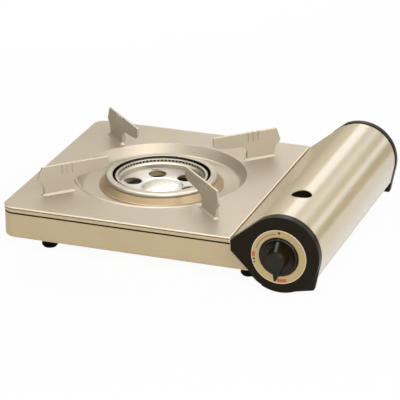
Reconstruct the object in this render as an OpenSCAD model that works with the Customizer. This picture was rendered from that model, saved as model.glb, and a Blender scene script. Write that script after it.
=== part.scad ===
// Slim table stove for a lying gas canister: a sheet-steel case with an open ring burner and four
// pan supports on the left, and a canister bay with a hinged round cover on the right.
// Lengths are millimetres. The stove stands on z = 0 with its front towards -Y.

/* [Case] */
// Width of the top plate
plate_w = 239.5; // [230:0.5:260]
// Depth of the top plate
plate_d = 259; // [252:1:280]
// Height of the case from its floor to the top of the plate
case_h = 33.4; // [32:0.2:37]
// Height of the feet under the case floor
foot_h = 12.2; // [11.8:0.2:16]
// Thickness of the case sheet
sheet_t = 1; // [0.8:0.1:1.2]
// Radius of the left corners in plan
corner_r = 13; // [9:0.5:18]
// Height of the plate's rim
rim_h = 5.6; // [5.2:0.2:7]
// Width of the plate's pressed edge
edge_w = 2.5; // [2.3:0.1:3]
// Height of the groove between the rim and the tray
seam_h = 1.2; // [0.8:0.1:1.6]
// Radius of the tray's lower edge
tray_roll_r = 4; // [2.5:0.5:6]
// Radius of a foot
foot_r = 8; // [7:0.5:10]
// Distance of the feet from the front and back edges
foot_in = 22.5; // [14:0.5:26]
// Distance of the left feet from the left edge
foot_left = 43; // [30:1:60]

/* [Burner] */
// Distance of the burner from the left edge
burner_x = 121; // [118:0.5:128]
// Distance of the burner from the front edge
burner_y = 131; // [126:0.5:136]
// Radius of the well in the plate
well_r = 86.8; // [84:0.2:90]
// Depth of the well below the plate
well_depth = 9.75; // [8:0.25:11]
// Height of the raised bead round the well
bead_h = 0.9; // [0.5:0.1:1.4]
// Radius of the collar's foot
collar_r = 63.4; // [61:0.2:66]
// Height of the collar from the well's floor to the rim
collar_h = 6.6; // [6:0.2:7.2]
// Outer radius of the rolled rim
ring_r = 57.5; // [56:0.1:59]
// Width of the rolled rim
ring_w = 7.5; // [6.5:0.1:8]
// Inner radius of the port ring
port_ring_r = 42.6; // [41:0.2:44]
// Number of flame ports
port_n = 72; // [48:1:80]
// Width of a flame port
port_w = 1.9; // [1.4:0.1:2.2]
// Height of a flame port
port_h = 2.1; // [1.6:0.1:2.4]
// Number of air holes in the dish
air_n = 6; // [4:1:6]
// Radius of an air hole
air_r = 9.2; // [7:0.2:9.4]
// Distance of the air holes from the burner's centre
air_pitch_r = 31.6; // [31.2:0.1:32.1]
// Radius of the dish's middle dome
dome_r = 20; // [16:0.5:21]

/* [Pan supports] */
// Height of the supports above the plate
support_h = 30; // [26:0.5:34]
// Radius of the supports' inner tips
support_tip_r = 58; // [54:0.5:64]
// Radius of the supports' outer ends
support_end_r = 131; // [128:0.5:134]
// Thickness of the supports' sheet
support_t = 2; // [1.6:0.1:2.4]
// Length of a support's foot
support_foot = 31; // [28:0.5:33]
// Height of the raised pad under a support
pad_h = 1.9; // [1.4:0.1:2.2]
// Width of the raised pad
pad_w = 8; // [7.6:0.2:10]
// Width of the folds at a support's foot
fold_w = 3.6; // [2.8:0.1:3.7]

/* [Canister bay] */
// Distance of the bay's axis from the plate's right edge
bay_gap = 54; // [53:0.5:60]
// Radius of the end caps
cap_r = 38.5; // [38.5:0.1:41]
// Clearance of the end caps above the table
cap_ground = 0.9; // [0.5:0.1:3]
// Depth of the front cap
front_cap_d = 9.5; // [9:0.25:13]
// Depth of the rear cap
rear_cap_d = 7; // [6:0.25:10]
// Wall of the end caps
cap_t = 2.4; // [2:0.1:2.6]
// Step from the end caps down to the cover
cover_step = 0.8; // [0.6:0.1:1.2]
// Thickness of the cover's sheet
cover_t = 0.8; // [0.6:0.1:1]
// Length of the cover's straight side below its round part
skirt_len = 15; // [12:0.5:16]
// Radius of the cover's finger hole
finger_r = 10; // [8:0.25:12]
// Distance of the finger hole from the plate's front edge
finger_y = 55; // [40:1:120]
// Radius of the cover's hinge pins
pin_r = 1.5; // [1.2:0.1:1.6]
// Distance of the canister's seat from the plate's front edge
seat_y = 45; // [44:0.5:50]

/* [Knob] */
// Outer radius of the dial ring
dial_r = 27.4; // [25:0.2:29]
// Radius of the knob's disc
knob_r = 18.8; // [17:0.2:20]
// Radius of the knob's hub at its front
hub_r = 8.8; // [7.5:0.1:10]
// Reach of the knob in front of the dial
knob_h = 15; // [12:0.5:18]
// Radius of the spindle
spindle_r = 3; // [2.5:0.1:3.5]
// Rise of the igniter cam in one radian
cam_rise = 1.5; // [1:0.1:1.6]

/* [Fits] */
// Radial clearance of a turning fit
run_gap = 0.05; // [0.03:0.01:0.08]
// Gap between pieces that pass each other
pass_gap = 0.3; // [0.25:0.05:0.5]

/* [Hidden] */
$fn = 96;
eps = 0.01;

// Heights
floor_z = foot_h;
plate_z = floor_z + case_h;
seam_z = plate_z - rim_h;
well_z = plate_z - well_depth;
axis_z = cap_ground + cap_r;
channel_z = floor_z + sheet_t + 16.3;

// Insets of the rim's band and of the tray's wall from the plate's lip, and where the tray's inside begins
band_in = 0.4;
wall_in = band_in + 0.3;
neck_in = band_in + sheet_t + 0.1;
inside_y = neck_in + sheet_t + 0.2;

// Half width of a pad's flat top, and the fall of its sides
pad_top = 1.6;
pad_fall = pad_h / (pad_w / 2 - pad_top);

// Lengths along the bay, front to back
cap_back_y = -1.5;
cap_face_y = cap_back_y - front_cap_d;
rear_y = plate_d + 1.2;
rear_end_y = rear_y + rear_cap_d;
knob_front_y = cap_face_y - knob_h;

// Overall frame, with the origin under the middle of the whole stove
bay_x = plate_w + bay_gap;
total_w = bay_x + cap_r;
mid_y = (knob_front_y + rear_end_y) / 2;

// Section of the bay, seen from the front and measured from its axis
cover_r = cap_r - cover_step;
ear_x = 4.2 - bay_gap;
slope_end_x = 0.8 - bay_gap;
slope_end = [slope_end_x, plate_z - axis_z];
slope_dir = atan2(slope_end[1], slope_end[0]);
slope_a = slope_dir - acos(cap_r / norm(slope_end));
cut_a = 225;
cut_d = cap_r - 1.9;
skirt_a = -11;
barrel_r = pin_r + run_gap + 1.6;
skirt_way = [sin(skirt_a), -cos(skirt_a)];
skirt_end = pol(cover_r, skirt_a) + skirt_len * skirt_way;
hinge = skirt_end - pol(barrel_r - 0.15, skirt_a);
trough_in = 1.2;

// How far a flat side stands proud of the round that it runs into, so that the two join cleanly
hair = 0.02;

// Turn of the air dish about the burner
dish_turn = 118;

// Knob and igniter
dial_x = bay_x - 1.3;
dial_z = axis_z - 1.7;
dial_t = 0.6;
recess_d = 3;
recess_r = knob_r + 0.7;
seat_r = cap_r - 9.5;
bracket_t = 1.2;
bracket_y = seat_y - 4.8 - bracket_t;
regulator_r = 17;
regulator_y = bracket_y - 13;
cam_t = 6;
cam_y = regulator_y - 3 - cam_t;
cam_r = 10;
cam_span = 190;
plunger_r = 3;
plunger_x = dial_x - cam_r - pass_gap;
igniter_x = plunger_x - 10;
igniter_len = 18;
igniter_w = 12;

// Gas way
tube_r = 6.4;
gas_z = floor_z + sheet_t + tube_r + 2;
pipe_r = 3;
pipe_bend = 10;
pipe_y = regulator_y + 6.5;
outlet_x = dial_x - 20;
tube_y = burner_y - 47;
riser_x = burner_x + 19;
tube_mouth_x = plate_w - 3;
pipe_x = tube_mouth_x + 6.5 + pipe_bend;

function pol(r, a) = [r * cos(a), r * sin(a)];
function arc(c, r, a0, a1, n) = [for (i = [0 : n]) c + pol(r, a0 + (a1 - a0) * i / n)];
function on_slope(e, x) = [x, (cap_r - e - x * cos(slope_a)) / sin(slope_a)];
function on_cut(e, x) = [x, (cut_d - e - x * cos(cut_a)) / sin(cut_a)];
function cut_x(e, z) = (cut_d - e - z * sin(cut_a)) / cos(cut_a);
function corner_at(r, low) = [(cap_r - r - (low - r) * sin(-skirt_a)) / cos(skirt_a), r - low];
function cam_at(a) = cam_r + cam_rise * max(0, a) * PI / 180;

// Places a piece drawn from the plate's front left corner into the stove's own frame
module placed() {
    translate([-total_w / 2, -mid_y, 0])
        children();
}

// Extrudes a section of the bay from y0 back to y1
module along_bay(y0, y1) {
    translate([bay_x, y1, axis_z])
        rotate([90, 0, 0])
            linear_extrude(y1 - y0)
                children();
}

// A round bar along +Y, from y0 to y1
module bar_y(x, z, r, y0, y1) {
    translate([x, y0, z])
        rotate([-90, 0, 0])
            cylinder(r = r, h = y1 - y0);
}

// A round bar along +X, from x0 to x1
module bar_x(y, z, r, x0, x1) {
    translate([x0, y, z])
        rotate([0, 90, 0])
            cylinder(r = r, h = x1 - x0);
}

// Outline of the case in plan, rounded at the left only
module case_outline(inset, width) {
    r = corner_r - inset;
    translate([corner_r, inset])
        square([width - corner_r, plate_d - 2 * inset]);
    translate([inset, corner_r])
        square([corner_r, plate_d - 2 * corner_r]);
    translate([corner_r, corner_r])
        circle(r);
    translate([corner_r, plate_d - corner_r])
        circle(r);
}

// Sweeps a profile of inset and height round the front, left and back edges
module edge_sweep(x_end) {
    translate([corner_r, 0, 0])
        rotate([90, 0, 90])
            linear_extrude(x_end - corner_r)
                children();
    translate([0, plate_d - corner_r, 0])
        rotate([90, 0, 0])
            linear_extrude(plate_d - 2 * corner_r)
                children();
    translate([corner_r, plate_d, 0])
        mirror([0, 1, 0])
            rotate([90, 0, 90])
                linear_extrude(x_end - corner_r)
                    children();
    translate([corner_r, corner_r, 0])
        rotate(180)
            rotate_extrude(angle = 90)
                translate([corner_r, 0])
                    mirror([1, 0])
                        children();
    translate([corner_r, plate_d - corner_r, 0])
        rotate(90)
            rotate_extrude(angle = 90)
                translate([corner_r, 0])
                    mirror([1, 0])
                        children();
}

// Outline of an end cap, drawn in by e from its outer face, with its sloping side lower by drop
module cap_section(e, drop = 0) {
    shoulder = drop > 0 ? 1 : -1;
    intersection() {
        union() {
            circle(cap_r - e);
            polygon([
                [0, 0], pol(cap_r - e - drop + hair, slope_a), on_slope(e + drop - hair, ear_x + e),
                on_cut(e, ear_x + e) - [0, 14], pol(cut_d + 10, cut_a)
            ]);
        }
        rotate(cut_a)
            translate([-2 * bay_gap, -2 * bay_gap])
                square([2 * bay_gap + cut_d - e, 4 * bay_gap]);
        rotate(slope_a)
            translate([-2 * bay_gap, -2 * bay_gap])
                square([2 * bay_gap + cap_r - e - shoulder, 4 * bay_gap]);
    }
}

// Lower outer corner of an end cap, which carries the cover's hinge
module cap_corner(r, lift = 3.6) {
    low = cap_r - lift;
    c = corner_at(r, low);
    polygon([
        [0, 0], pol(cap_r + hair, skirt_a), c + pol(r + hair, skirt_a), c - [0, r + hair], [0, -low - hair]
    ]);
    translate(c)
        circle(r);
}

// The four places of the feet in plan
module at_feet() {
    for (x = [foot_left, plate_w + 12], y = [foot_in, plate_d - foot_in])
        translate([x, y, 0])
            children();
}

// Turns a piece drawn along +X to each of the burner's diagonals
module at_burner(a) {
    translate([burner_x, burner_y, 0])
        rotate(a)
            children();
}

module base_tray() {
    t = sheet_t;
    u = wall_in;
    n = neck_in;
    top = plate_z - 3.3;
    ledge = seam_z - seam_h;
    x_end = bay_x;
    lip = [u + tray_roll_r, floor_z + tray_roll_r];
    color("#b8a684")
    placed()
    difference() {
        union() {
            edge_sweep(x_end)
                polygon(concat(
                    [[n + t, top], [n, top], [n, ledge], [u, ledge]],
                    arc(lip, tray_roll_r, 180, 270, 6),
                    arc(lip, tray_roll_r - t, 270, 180, 6),
                    [[u + t, ledge - t], [n + t, ledge - t]]
                ));
            translate([0, 0, floor_z])
                linear_extrude(sheet_t)
                    difference() {
                        case_outline(u + tray_roll_r - eps, x_end);
                        at_burner_2d()
                            vent_slots();
                    }
        }
        along_bay(-1, plate_d + 1)
            right_of_tray();
        at_feet()
            cylinder(r = 2, h = plate_z);
    }
}

// All that lies above or right of the tray beside the bay
module right_of_tray() {
    e = trough_in - 0.2;
    low = -axis_z;
    step = seam_z - seam_h - 0.1 - axis_z;
    far = 3 * cap_r;
    polygon([
        [-bay_gap, far], [-bay_gap, step], [cut_x(e, step), step], [cut_x(e, low), low],
        [far, low], [far, far]
    ]);
}

module at_burner_2d() {
    translate([burner_x, burner_y])
        children();
}

// Slots in the tray's floor that let air up to the burner
module vent_slots() {
    for (a = [0 : 30 : 330])
        rotate(a)
            translate([22, -2.5])
                square([26, 5]);
}

module top_plate() {
    lip_r = 1;
    groove = band_in + 0.7;
    color("#cdc0a6")
    placed()
    difference() {
        union() {
            edge_sweep(plate_w)
                polygon(concat(
                    [[band_in + sheet_t, seam_z], [band_in, seam_z], [band_in, plate_z - 2.6]],
                    [[groove, plate_z - 2.4], [groove, plate_z - 1.75]],
                    arc([lip_r, plate_z - lip_r], lip_r, 220, 90, 6),
                    [[edge_w, plate_z], [edge_w, plate_z - sheet_t], [groove + 0.9, plate_z - 1.6]],
                    [[groove + 0.9, plate_z - 2.7], [band_in + sheet_t, plate_z - 3.1]]
                ));
            translate([0, 0, plate_z - sheet_t])
                linear_extrude(sheet_t)
                    difference() {
                        case_outline(edge_w - eps, plate_w);
                        at_burner_2d()
                            circle(well_r + 3);
                    }
            translate([plate_w - sheet_t, inside_y, seam_z])
                cube([sheet_t, plate_d - 2 * inside_y, rim_h - eps]);
            translate([burner_x, burner_y, 0])
                rotate_extrude()
                    well_profile();
            for (a = [45 : 90 : 315])
                at_burner(a)
                    support_pad();
        }
        for (a = [45 : 90 : 315])
            at_burner(a)
                translate([support_end_r - 3.5 - support_foot, -support_t / 2 - 0.2, seam_z])
                    cube([support_foot + 1, support_t + 0.4, rim_h + 2 * pad_h]);
    }
}

// Sheet of the well, from the plate in to the hole under the collar
module well_profile() {
    t = sheet_t;
    floor_r = well_r - 7.5;
    hole_r = ring_r - 1;
    polygon(concat(
        [[well_r + 3.1, plate_z - t], [well_r + 3.1, plate_z]],
        [[well_r + 2, plate_z + bead_h * 0.7], [well_r + 1, plate_z + bead_h]],
        [[well_r, plate_z + bead_h * 0.7], [well_r - 0.8, plate_z - 0.6]],
        [[floor_r + 1.6, well_z + 1.1], [floor_r, well_z], [hole_r, well_z]],
        [[hole_r, well_z - t], [floor_r + 0.4, well_z - t], [floor_r + 2.7, well_z + 0.6]],
        [[well_r + 0.2, plate_z - t]]
    ));
}

// Raised pad with sloping sides that stiffens the plate round a support's slot
module support_pad() {
    sunk = 0.4;
    low_r = pad_w / 2 + sunk / pad_fall;
    out_x = support_end_r - 3.5;
    hull()
        for (x = [out_x - support_foot + 1, out_x])
            translate([x, 0, plate_z - sunk])
                cylinder(r1 = low_r, r2 = pad_top, h = pad_h + sunk, $fn = 40);
}

// One pan support: a sheet blade with three pressed beads and two folds at its foot
module pan_support(a, side) {
    z0 = plate_z + pad_h;
    h = support_h - pad_h;
    foot_in_r = support_end_r - 3 - support_foot;
    tip = support_tip_r;
    end_r = support_end_r;
    mid_r = (tip + foot_in_r) / 2;
    bead_at = foot_in_r + 6;
    placed()
    at_burner(a)
    difference() {
        union() {
            translate([0, support_t / 2, z0])
                rotate([90, 0, 0])
                    linear_extrude(support_t)
                        polygon(concat(
                            [[foot_in_r, 0], [foot_in_r, 6]],
                            arc([foot_in_r - 7, 6], 7, 12, 78, 6),
                            [[mid_r, h - 14.2], [tip + 6, h - 12.6], [tip, h - 9.5]],
                            arc([tip + 1.5, h - 1.5], 1.5, 180, 90, 3),
                            arc([end_r - 2, h - 2], 2, 80, 10, 4),
                            arc([end_r + 1.2, h - 13], 2.8, 20, -50, 5),
                            [[end_r - 0.8, 9.5], [end_r - 2.4, 5], [end_r - 3, 0]],
                            [[end_r - 3.2, 0], [end_r - 3.2, -5], [foot_in_r + 0.2, -5]],
                            [[foot_in_r + 0.2, 0]]
                        ));
            for (i = [-1 : 1])
                translate([bead_at + 5.6 * i, support_t / 2, z0 + h - 10])
                    cylinder(r = 1.1, h = 9.6);
            for (x = [foot_in_r + 0.1, end_r - 3 - 1.7])
                translate([x, 0, z0])
                    support_fold(side);
        }
        for (i = [-1 : 1])
            translate([bead_at + 5.6 * i, -support_t / 2, z0 + h - 10])
                cylinder(r = 0.9, h = 12);
    }
}

// Fold that steadies a support on its pad, with a lower edge that follows the pad's side
module support_fold(side) {
    rise = 0.15;
    tall = 11;
    rotate([90, 0, 90])
        linear_extrude(1.6)
            scale([side, 1])
                polygon([
                    [0, rise], [pad_top, rise], [fold_w, rise - (fold_w - pad_top) * pad_fall],
                    [fold_w, 2.5], [support_t / 2 + 0.4, tall], [0, tall]
                ]);
}

module support_front_left() {
    color("#c4b596")
        pan_support(225, -1);
}

module support_front_right() {
    color("#c4b596")
        pan_support(315, 1);
}

module support_rear_left() {
    color("#c4b596")
        pan_support(135, -1);
}

module support_rear_right() {
    color("#c4b596")
        pan_support(45, 1);
}

// Collar with the gas channel that hangs through the well's hole
module burner_collar() {
    out = ring_r - 1.7;
    in = out - 1.2;
    ring_z = well_z + collar_h;
    color("#c2a074")
    placed()
    difference() {
        translate([burner_x, burner_y, 0])
            rotate_extrude()
                polygon([
                    [collar_r, well_z], [collar_r, well_z + 1], [collar_r - 1.1, well_z + 1.7],
                    [ring_r - 0.2, ring_z], [in, ring_z], [in, channel_z],
                    [port_ring_r - 2.1, channel_z], [port_ring_r - 2.1, channel_z - 1.2],
                    [out, channel_z - 1.2], [out, well_z]
                ]);
        translate([riser_x, tube_y, channel_z - 2])
            cylinder(r = tube_r - 2.2, h = 3);
    }
}

module burner_rim() {
    z0 = well_z + collar_h;
    in = ring_r - ring_w;
    foot = ring_r - 2.9;
    color("#dcdad6")
    placed()
        translate([burner_x, burner_y, 0])
            rotate_extrude()
                polygon(concat(
                    [[foot, z0], [ring_r - 0.4, z0]],
                    arc([ring_r - 2.6, z0 + 1.9], 2.6, -20, 90, 8),
                    arc([in + 0.5, z0 + 4], 0.5, 90, 270, 6),
                    [[foot - 1.2, z0 + 2.7], [foot, z0 + 1.8]]
                ));
}

module port_ring() {
    r = port_ring_r;
    t = 1.4;
    face = r + 1.9;
    edge = r + 5.8;
    top = plate_z - 0.5;
    color("#a9a39a")
    placed()
        at_burner(0)
            difference() {
                rotate_extrude()
                    polygon(concat(
                        [[r, channel_z], [r + t, channel_z], [r + t, top - 5.4], [face + t, top - 3.6]],
                        [[face + t, top - 1.4], [edge - 0.6, top - 1.2]],
                        arc([edge - 0.6, top - 0.6], 0.6, -90, 90, 4),
                        arc([face + 0.5, top - 0.5], 0.5, 90, 180, 3),
                        [[face, top - 3.2], [r, top - 5]]
                    ));
                for (i = [0 : port_n - 1])
                    rotate(i * 360 / port_n)
                        translate([face - 1, -port_w / 2, top - 0.6 - port_h])
                            cube([t + 2, port_w, port_h]);
            }
}

module air_dish() {
    out = port_ring_r - 0.15;
    in = out - 0.8;
    low = well_z - 3.4;
    rim = well_z;
    flat = low + 1.8;
    color("#e6e6e8")
    placed()
        at_burner(dish_turn)
            difference() {
                rotate_extrude()
                    polygon(concat(
                        [[in, channel_z], [out, channel_z], [out, rim], [in - 0.6, rim - 0.2]],
                        [[in - 0.6, flat], [dome_r + 2.4, flat - 0.6], [dome_r + 0.6, low]],
                        [[dome_r, low + 0.3], [dome_r * 0.86, low + 1.8]],
                        [[dome_r * 0.6, low + 3.2], [dome_r * 0.3, low + 4], [0, low + 4.2]],
                        [[0, low + 3.2], [dome_r * 0.58, low + 2.2], [dome_r * 0.84, low + 0.8]],
                        [[dome_r - 0.6, low - 0.9], [dome_r + 1.2, low - 0.9]],
                        [[dome_r + 2.8, flat - 1.6], [in, flat - 1]]
                    ));
                for (i = [0 : air_n - 1])
                    rotate(i * 360 / air_n)
                        translate([air_pitch_r, 0, low - 3])
                            cylinder(r = air_r, h = well_depth + 3);
            }
}

// Tube in which gas and air mix, with the riser into the burner's channel
module mixing_tube() {
    wall = 1;
    color("#9a9a96")
    placed()
    difference() {
        union() {
            bar_x(tube_y, gas_z, tube_r, riser_x - tube_r, tube_mouth_x);
            translate([riser_x, tube_y, gas_z])
                cylinder(r = tube_r - 1, h = channel_z - 1.2 - gas_z);
        }
        bar_x(tube_y, gas_z, tube_r - wall, riser_x - tube_r + wall, tube_mouth_x + 1);
        translate([riser_x, tube_y, gas_z])
            cylinder(r = tube_r - 1 - wall, h = channel_z);
        translate([tube_mouth_x - 12, tube_y - 2 * tube_r, gas_z - 3])
            cube([7, 4 * tube_r, 6]);
    }
}

// Jet in the tube's mouth
module gas_jet() {
    flange_r = tube_r - 1 - pass_gap;
    color("#b8924a")
    placed()
    difference() {
        union() {
            bar_x(tube_y, gas_z, flange_r, tube_mouth_x - 3, tube_mouth_x + 1);
            bar_x(tube_y, gas_z, 2.2, tube_mouth_x - 9, tube_mouth_x);
            bar_x(tube_y, gas_z, 4, tube_mouth_x, tube_mouth_x + 5);
        }
        bar_x(tube_y, gas_z, 0.6, tube_mouth_x - 12, tube_mouth_x + 6);
    }
}

// Pipe from the regulator's outlet to the jet, with two bends
module gas_pipe() {
    b = pipe_bend;
    near = [pipe_x + b, pipe_y + b];
    far = [pipe_x - b, tube_y - b];
    plan = concat(
        [[outlet_x, pipe_y]], arc(near, b, 270, 180, 6), arc(far, b, 0, 90, 6),
        [[tube_mouth_x + 5.1, tube_y]]
    );
    color("#b5b1a8")
    placed()
        wire([for (p = plan) [p[0], p[1], gas_z]], pipe_r, 12);
}

// Valve body with its outlet and the neck that takes the canister's nozzle
module regulator() {
    outlet_r = 5;
    neck_r = 9;
    color("#b9b9b4")
    placed()
    difference() {
        union() {
            bar_y(dial_x, dial_z, regulator_r, regulator_y, bracket_y);
            bar_y(dial_x, dial_z, regulator_r - 5, regulator_y - 2, regulator_y);
            bar_y(dial_x, dial_z, neck_r, bracket_y, seat_y - 1);
            bar_x(pipe_y, gas_z, outlet_r, outlet_x, dial_x);
        }
        bar_y(dial_x, dial_z, spindle_r + run_gap, regulator_y - 3, regulator_y + 8);
        bar_y(dial_x, dial_z, 4, bracket_y + 1, seat_y);
    }
}

// Magnet ring with the key that sets the canister upright
module canister_seat() {
    color("#5a5a58")
    placed()
    difference() {
        union() {
            bar_y(dial_x, dial_z, seat_r, bracket_y + bracket_t, seat_y);
            translate([dial_x - 3, seat_y - 1, dial_z + seat_r - 7])
                cube([6, 5, 5]);
        }
        bar_y(dial_x, dial_z, 9.4, bracket_y, seat_y + 1);
    }
}

// Upright plate across the bay that carries the valve
module valve_bracket() {
    top = 24;
    color("#a9a9a4")
    placed()
    difference() {
        along_bay(bracket_y, bracket_y + bracket_t)
            intersection() {
                cap_section(trough_in + cover_t + 0.2);
                translate([-2 * bay_gap, -2 * cap_r])
                    square([4 * bay_gap, 2 * cap_r + top]);
            }
        bar_y(dial_x, dial_z, 9.3, bracket_y - 1, seat_y);
        bar_y(bay_x + hinge[0], axis_z + hinge[1], barrel_r + pass_gap, bracket_y - 1, seat_y);
    }
}

// Floor of the bay: a pressed trough with a flange under the plate's right edge
module bay_trough() {
    right_top = hinge[1] - barrel_r - 1.4;
    left_top = seam_z - axis_z;
    in_e = trough_in + cover_t;
    color("#8d8472")
    placed()
    difference() {
        union() {
            along_bay(inside_y, plate_d - inside_y)
                translate([-bay_gap - 4, left_top - cover_t])
                    square([6, cover_t]);
            along_bay(cap_back_y, rear_y) {
                difference() {
                    cap_section(trough_in);
                    cap_section(in_e);
                    translate([ear_x, left_top])
                        square([4 * cap_r, 4 * cap_r]);
                    translate([0, right_top])
                        square([4 * cap_r, 4 * cap_r]);
                }
                translate([0.1 - bay_gap, left_top - cover_t])
                    square([4.1 + in_e, cover_t]);
            }
        }
        bar_x(pipe_y, gas_z, pipe_r + 1.5, pipe_x, outlet_x);
        bar_x(lead_route[1][1], lead_route[1][2], 2.6, plate_w, igniter_x - igniter_len);
    }
}

// Black shell at the front of the bay, with a round recess for the knob
module front_cap() {
    mid = cap_face_y + 5;
    color("#2a2622")
    placed()
    difference() {
        union() {
            difference() {
                union() {
                    along_bay(cap_face_y, cap_back_y)
                        cap_section(0);
                    along_bay(mid, cap_back_y)
                        cap_corner(3, 4.4);
                    hull() {
                        along_bay(cap_face_y + 0.6, cap_face_y + 0.8)
                            circle(cap_r - 0.7);
                        along_bay(mid, mid + 0.2)
                            translate(corner_at(3, cap_r - 4.4))
                                circle(2.9, $fn = 24);
                    }
                }
                along_bay(cap_face_y + cap_t, cap_back_y + 1)
                    cap_section(3);
            }
            bar_y(dial_x, dial_z, recess_r + cap_t, cap_face_y + 1, cap_face_y + recess_d + cap_t);
        }
        bar_y(dial_x, dial_z, recess_r, cap_face_y - 1, cap_face_y + recess_d);
        bar_y(dial_x, dial_z, spindle_r + pass_gap, cap_face_y, cap_back_y);
        bar_y(bay_x + hinge[0], axis_z + hinge[1], pin_r + 0.02, mid + 1, cap_back_y + 1);
    }
}

// Black shell at the back of the bay
module rear_cap() {
    color("#2a2622")
    placed()
    difference() {
        union() {
            along_bay(rear_y, rear_end_y)
                cap_section(0, 2.2);
            along_bay(rear_y, rear_end_y)
                cap_corner(1.5);
        }
        along_bay(rear_y - 1, rear_end_y - cap_t)
            cap_section(3, 2.2);
        bar_y(bay_x + hinge[0], axis_z + hinge[1], pin_r + 0.02, rear_y - 1, rear_end_y - 2);
    }
}

module dial_ring() {
    color("#cbb98e")
    placed()
    difference() {
        bar_y(dial_x, dial_z, dial_r, cap_face_y - dial_t, cap_face_y);
        bar_y(dial_x, dial_z, recess_r + 0.2, cap_face_y - 1, cap_face_y + 1);
    }
}

// Pins fixed in the two caps, on which the cover's rolled edge turns
module hinge_pins() {
    x = bay_x + hinge[0];
    z = axis_z + hinge[1];
    color("#c8c8c6")
    placed() {
        bar_y(x, z, pin_r, cap_face_y + 6, cap_back_y + 10);
        bar_y(x, z, pin_r, rear_y - 10, rear_end_y - 2);
    }
}

module igniter_body() {
    x0 = igniter_x - igniter_len;
    color("#d8d4c8")
    placed()
    difference() {
        translate([x0, cam_y + cam_t / 2 - igniter_w / 2, dial_z - igniter_w / 2])
            cube([igniter_len, bracket_y - cam_y - cam_t / 2 + igniter_w / 2, igniter_w]);
        bar_x(cam_y + cam_t / 2, dial_z, plunger_r + run_gap, x0 + 4, igniter_x + 1);
    }
}

// Electrode's place in the front left hole of the dish
spark_r = 2.6;
spark_a = dish_turn + round(air_n / 3) * 360 / air_n;
spark_at = [burner_x, burner_y] + pol(air_pitch_r + 2, spark_a);

// Route of the igniter's lead: from the igniter, through the trough's wall, to the electrode
lead_r = 1.4;
lead_start = [igniter_x - igniter_len, cam_y + cam_t / 2, dial_z - 2];
lead_route = [
    lead_start, lead_start - [6, 0, 0], [plate_w - 2, lead_start[1], dial_z - 4],
    [plate_w - 14, lead_start[1] + 4, floor_z + 12], [plate_w - 40, lead_start[1] + 10, floor_z + 8],
    [burner_x + 40, lead_start[1] + 14, floor_z + 6], [burner_x + 10, burner_y - 76, floor_z + 6],
    [burner_x - 8, burner_y - 60, floor_z + 6], [spark_at[0], spark_at[1] - 8, floor_z + 6],
    [spark_at[0], spark_at[1] - spark_r - 0.1, floor_z + 6]
];

// Sweeps a round wire along a route
module wire(route, r, sides) {
    n = len(route);
    dirs = [for (i = [0 : n - 1])
        let (a = route[max(0, i - 1)], b = route[min(n - 1, i + 1)])
        (b - a) / norm(b - a)];
    rings = [for (i = [0 : n - 1])
        let (d = dirs[i], s = cross(d, [0, 0, 1]) / norm(cross(d, [0, 0, 1])), t = cross(s, d))
        [for (k = [0 : sides - 1])
            route[i] + r * (cos(360 * k / sides) * s + sin(360 * k / sides) * t)]];
    points = [for (ring = rings) each ring];
    sides_f = [for (i = [0 : n - 2], k = [0 : sides - 1])
        let (k2 = (k + 1) % sides)
        [i * sides + k, i * sides + k2, (i + 1) * sides + k2, (i + 1) * sides + k]];
    first = [for (k = [sides - 1 : -1 : 0]) k];
    last = [for (k = [0 : sides - 1]) (n - 1) * sides + k];
    polyhedron(points, concat([first], sides_f, [last]), convexity = 4);
}

module igniter_lead() {
    color("#e8e4da")
    placed()
        wire(lead_route, lead_r, 8);
}

// Ceramic rod with its spark tip, held under the burner's channel
module spark_electrode() {
    top = well_z - 5;
    color("#f0eee8")
    placed() {
        translate([spark_at[0], spark_at[1], floor_z + 2])
            cylinder(r = spark_r, h = top - floor_z - 2);
        translate([spark_at[0], spark_at[1], top - 1])
            cylinder(r = 0.8, h = 6);
        translate([spark_at[0] - 5, burner_y - port_ring_r - 7, channel_z - 2.4])
            cube([10, spark_at[1] - burner_y + port_ring_r + 8, 1.2]);
    }
}

module feet() {
    color("#1f1d1b")
    placed()
        at_feet()
            difference() {
                union() {
                    cylinder(r1 = foot_r - 1.5, r2 = foot_r, h = 2);
                    translate([0, 0, 2])
                        cylinder(r = foot_r, h = foot_h - 2);
                }
                translate([0, 0, -1])
                    cylinder(r = 4.2, h = foot_h - 5);
                cylinder(r = 2, h = foot_h + 1);
            }
}

module foot_screws() {
    color("#b0b0ae")
    placed()
        at_feet() {
            translate([0, 0, foot_h - 8.4])
                cylinder(r = 3.6, h = 2.4);
            translate([0, 0, foot_h - 6.5])
                cylinder(r = 1.8, h = 9.5);
        }
}

// Section of the cover's sheet: the round part, the sloping panel and the straight side
module cover_section() {
    r = cover_r;
    q = cover_r - cover_t;
    low = -4 * cap_r;
    left = slope_end_x - 5;
    difference() {
        union() {
            circle(r);
            polygon([
                [0, 0], pol(r + hair, slope_a), on_slope(cover_step - hair, slope_end_x), [slope_end_x, 0]
            ]);
        }
        union() {
            circle(q);
            polygon([
                [0, 0], pol(q + hair, slope_a), on_slope(cover_step + cover_t - hair, left), [left, low],
                [-low, low], pol(-low, skirt_a - 1)
            ]);
        }
    }
    polygon([
        pol(r + hair, skirt_a), pol(q + hair, skirt_a),
        skirt_end - pol(cover_t - hair, skirt_a), skirt_end + pol(hair, skirt_a)
    ]);
    translate(hinge)
        circle(barrel_r);
}

// Round cover with a sloping panel, a rolled hinge edge and a finger hole in its crown
module canister_cover() {
    color("#d6c8a8")
    placed()
    difference() {
        along_bay(cap_back_y + 0.5, rear_y - 0.5)
            difference() {
                cover_section();
                translate(hinge)
                    circle(pin_r + run_gap);
            }
        translate([bay_x, finger_y, axis_z])
            cylinder(r = finger_r, h = 2 * cap_r);
    }
}

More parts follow.
